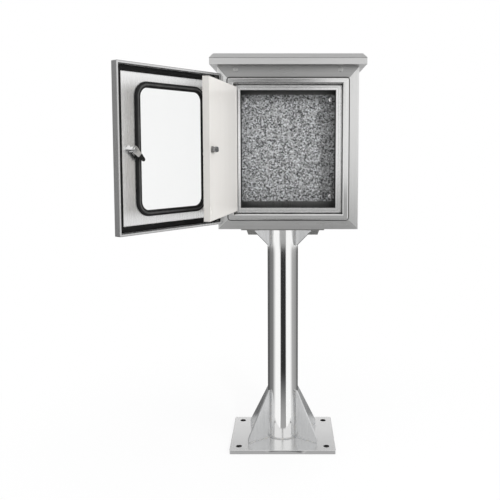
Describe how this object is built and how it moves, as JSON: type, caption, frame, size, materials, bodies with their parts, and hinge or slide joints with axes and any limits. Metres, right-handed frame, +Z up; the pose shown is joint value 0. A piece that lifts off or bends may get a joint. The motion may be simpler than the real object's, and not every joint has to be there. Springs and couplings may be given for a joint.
{
  "type": "traffic signal controller cabinet",
  "caption": "Stainless steel control cabinet on a round floor post, with a canopy roof, a windowed outer door, an inner door and a galvanised mounting plate inside.",
  "frame": {"origin": "centre of the anchor bolt pattern on the base plate's underside, on the post's axis", "axes": "+X to the right seen from the door side, -Y towards the person who opens the doors, +Z up along the post"},
  "size_m": [0.7972, 0.6258, 1.445],
  "materials": {
    "brushed_stainless": "brushed stainless steel sheet",
    "polished_stainless": "mirror polished stainless steel",
    "galvanised_steel": "hot dip galvanised with spangle",
    "bright_hardware": "bright plated fasteners and lock parts",
    "black_rubber": "black moulded rubber",
    "foam_gasket": "black cellular foam gasket",
    "clear_pane": "clear toughened glass"
  },
  "bodies": {
    "cabinet": {"base_gusset_front_left": "brushed_stainless", "base_gusset_front_right": "brushed_stainless", "base_gusset_rear_left": "brushed_stainless", "base_gusset_rear_right": "brushed_stainless", "base_plate": "brushed_stainless", "cabinet_body": "brushed_stainless", "cable_grommet": "black_rubber", "canopy_bolts": "bright_hardware", "canopy_nuts": "bright_hardware", "canopy_roof": "brushed_stainless", "earth_stud": "bright_hardware", "face_plugs": "bright_hardware", "head_gusset_front_left": "brushed_stainless", "head_gusset_front_right": "brushed_stainless", "head_gusset_rear_left": "brushed_stainless", "head_gusset_rear_right": "brushed_stainless", "head_saddle": "brushed_stainless", "inner_frame": "brushed_stainless", "inner_pivot_bracket_lower": "brushed_stainless", "inner_pivot_bracket_upper": "brushed_stainless", "inner_pivot_pin_lower": "bright_hardware", "inner_pivot_pin_upper": "bright_hardware", "mounting_plate": "galvanised_steel", "outer_hinge_bracket_lower": "brushed_stainless", "outer_hinge_bracket_upper": "brushed_stainless", "outer_hinge_pin_lower": "bright_hardware", "outer_hinge_pin_upper": "bright_hardware", "plate_nuts": "bright_hardware", "plate_studs": "bright_hardware", "post_tube": "polished_stainless", "saddle_bolts": "bright_hardware", "saddle_nuts": "bright_hardware"},
    "outer_door": {"outer_door_gasket": "foam_gasket", "outer_door_pan": "brushed_stainless", "outer_hinge_knuckle_lower": "brushed_stainless", "outer_hinge_knuckle_upper": "brushed_stainless", "outer_lock_housing": "bright_hardware", "outer_lock_nut": "bright_hardware", "window_pane": "clear_pane", "window_seal": "black_rubber"},
    "outer_cam": {"outer_cam_cap": "black_rubber", "outer_cam_screw": "bright_hardware", "outer_lock_cam": "bright_hardware", "outer_lock_core": "bright_hardware"},
    "inner_door": {"inner_door_panel": "polished_stainless", "inner_knuckle_lower": "brushed_stainless", "inner_knuckle_upper": "brushed_stainless", "inner_lock_housing": "bright_hardware", "inner_lock_nut": "bright_hardware"},
    "inner_cam": {"inner_cam_screw": "bright_hardware", "inner_lock_cam": "bright_hardware", "inner_lock_core": "bright_hardware"}
  },
  "joints": [
    {"name": "outer_door_swing", "type": "hinge", "parent": "cabinet", "child": "outer_door", "pos_m": [-0.214, -0.106, 1.098], "axis": [0, 0, 1], "range_deg": [-3, 127]},
    {"name": "inner_door_swing", "type": "hinge", "parent": "cabinet", "child": "inner_door", "pos_m": [-0.1645, -0.078, 1.098], "axis": [0, 0, 1], "range_deg": [-2.4, 99.1]},
    {"name": "outer_lock_turn", "type": "hinge", "parent": "outer_door", "child": "outer_cam", "pos_m": [-0.45111, -0.42066, 1.098], "axis": [-0.7986, 0.6018, 0], "range_deg": [-44, 136]},
    {"name": "inner_lock_turn", "type": "hinge", "parent": "inner_door", "child": "inner_cam", "pos_m": [-0.21828, -0.41524, 1.098], "axis": [-0.9875, 0.1575, 0], "range_deg": [0, 180]}
  ],
  "couplings": [
    {"joint": "inner_door_swing", "follows": "outer_door_swing", "ratio": 0.78}
  ]
}
